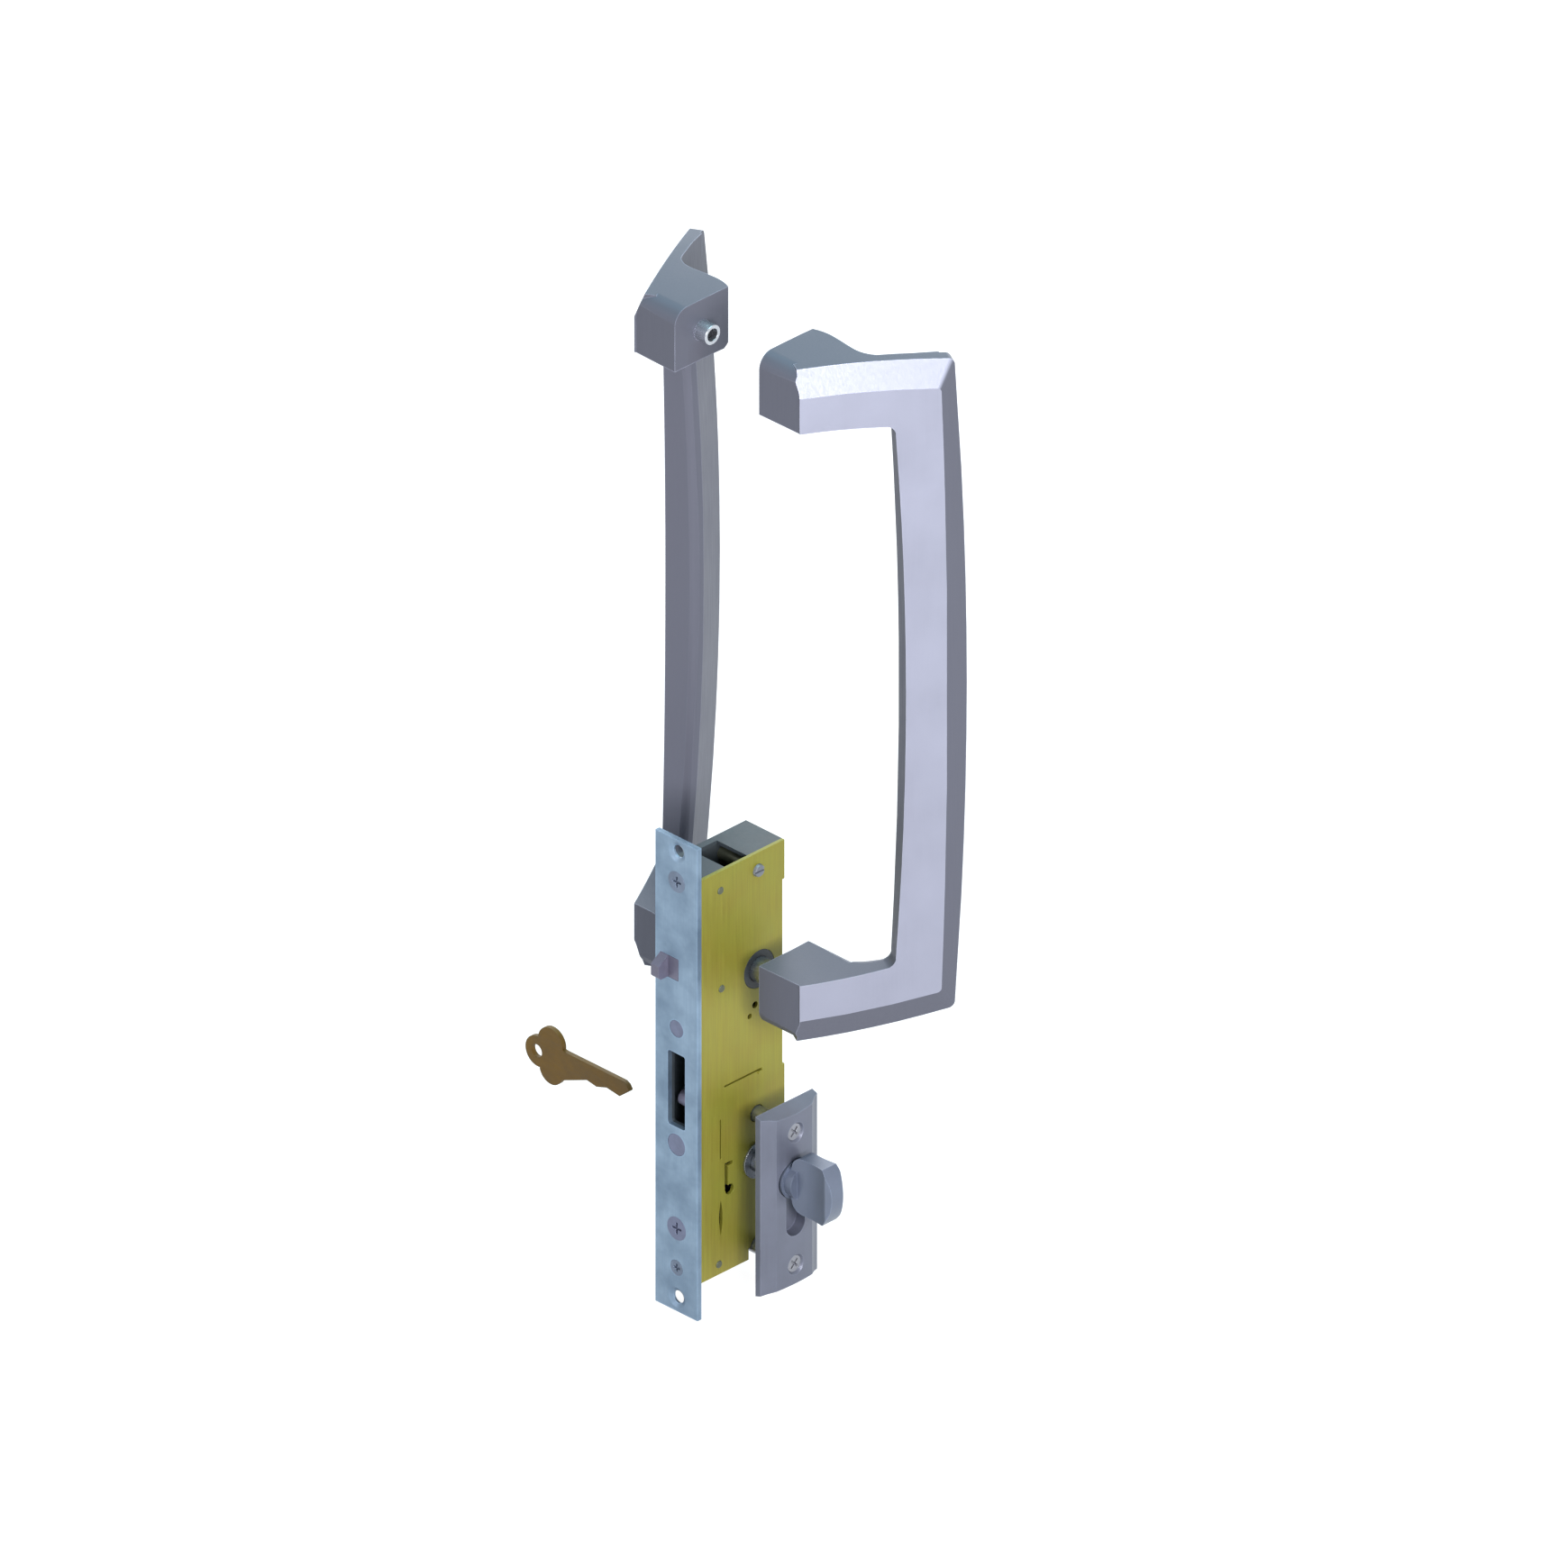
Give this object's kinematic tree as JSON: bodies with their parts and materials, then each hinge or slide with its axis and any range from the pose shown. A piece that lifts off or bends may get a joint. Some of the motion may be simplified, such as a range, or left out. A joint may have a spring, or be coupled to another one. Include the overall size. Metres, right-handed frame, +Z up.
{
  "type": "sliding patio door lock",
  "caption": "Mortise hook lock for a sliding door with paired pull handles, thumbturn escutcheon, key cylinder and key.",
  "frame": {"origin": "centre of the faceplate's back, where it lies on the door's edge, midway between its mounting holes", "axes": "+X to the room side of the door, -Y out of the door's edge, +Z up the door"},
  "size_m": [0.1852, 0.0892, 0.4143],
  "materials": {
    "plate_steel": "satin, brushed lengthways",
    "zinc_steel": "dull zinc plate",
    "yellow_zinc": "yellow dichromate plate",
    "bright_screw": "bright zinc plate",
    "spring_steel": "oiled spring steel",
    "bronze": "dark sintered bronze",
    "dark_plastic": "matt",
    "sleeve_zinc": "turned, zinc plated",
    "handle_paint": "satin powder coat on a casting",
    "escutcheon_paint": "satin powder coat on a casting",
    "thumbturn_satin": "satin",
    "trigger_cast": "as cast, polished by use",
    "cylinder_nickel": "satin nickel plate",
    "plug_brass": "machined",
    "key_brass": "dark brass, worn"
  },
  "bodies": {
    "root": {"faceplate": "plate_steel", "faceplate_screws": "bright_screw", "faceplate_rivets": "plate_steel", "cylinder_screw": "bright_screw", "case_tray": "zinc_steel", "case_cover": "yellow_zinc", "case_posts": "yellow_zinc", "cover_screw": "bright_screw", "tapped_blocks": "zinc_steel", "hook_pivot": "bright_screw", "hook_spacer": "zinc_steel", "shaft_bushing": "sleeve_zinc", "detent_spring": "spring_steel", "trigger_guide": "dark_plastic", "trigger_spring": "spring_steel", "cylinder_body": "cylinder_nickel", "driver_pins": "bright_screw", "pin_springs": "spring_steel", "handle_bushing": "dark_plastic", "handle_sleeve": "sleeve_zinc", "handle_rod": "bright_screw", "handle_studs": "bright_screw", "inside_handle": "handle_paint", "outside_handle": "handle_paint", "escutcheon": "escutcheon_paint", "outside_escutcheon": "escutcheon_paint", "escutcheon_posts": "sleeve_zinc", "escutcheon_screws": "bright_screw"},
    "turn": {"thumbturn": "thumbturn_satin", "thumbturn_shaft": "sleeve_zinc", "shaft_clip": "spring_steel", "cam": "bronze", "cam_pin": "bright_screw"},
    "hook": {"hook_bolt": "bronze", "hook_pin": "bright_screw"},
    "link": {"drive_link": "zinc_steel"},
    "plug": {"cylinder_plug": "plug_brass", "key_pins": "plug_brass"},
    "key": {"key": "key_brass"},
    "trigger": {"trigger": "trigger_cast", "trigger_bar": "zinc_steel"}
  },
  "joints": [
    {"name": "thumbturn_turn", "type": "hinge", "parent": "root", "child": "turn", "pos_m": [0, 0.0303, -0.0451], "axis": [1, 0, 0], "range_deg": [0, 90]},
    {"name": "hook_swing", "type": "hinge", "parent": "root", "child": "hook", "pos_m": [0, 0.0139, -0.016], "axis": [1, 0, 0], "range_deg": [0, 90]},
    {"name": "link_swing", "type": "hinge", "parent": "turn", "child": "link", "pos_m": [0, 0.02211, -0.04281], "axis": [1, 0, 0], "range_deg": [-90, 0]},
    {"name": "key_turn", "type": "hinge", "parent": "root", "child": "plug", "pos_m": [0, 0.0303, -0.0451], "axis": [1, 0, 0], "range_deg": [0, 90]},
    {"name": "key_insert", "type": "slide", "parent": "plug", "child": "key", "axis": [1, 0, 0], "range_m": [0, 0.0508]},
    {"name": "trigger_push", "type": "slide", "parent": "root", "child": "trigger", "axis": [0, 1, 0], "range_m": [0, 0.005], "stiffness_N_per_m": 200, "springref_m": -0.004, "deforming": ["trigger_spring"]}
  ],
  "couplings": [
    {"joint": "hook_swing", "follows": "thumbturn_turn", "ratio": 1},
    {"joint": "link_swing", "follows": "thumbturn_turn", "ratio": -1},
    {"joint": "key_turn", "follows": "thumbturn_turn", "ratio": 1}
  ]
}
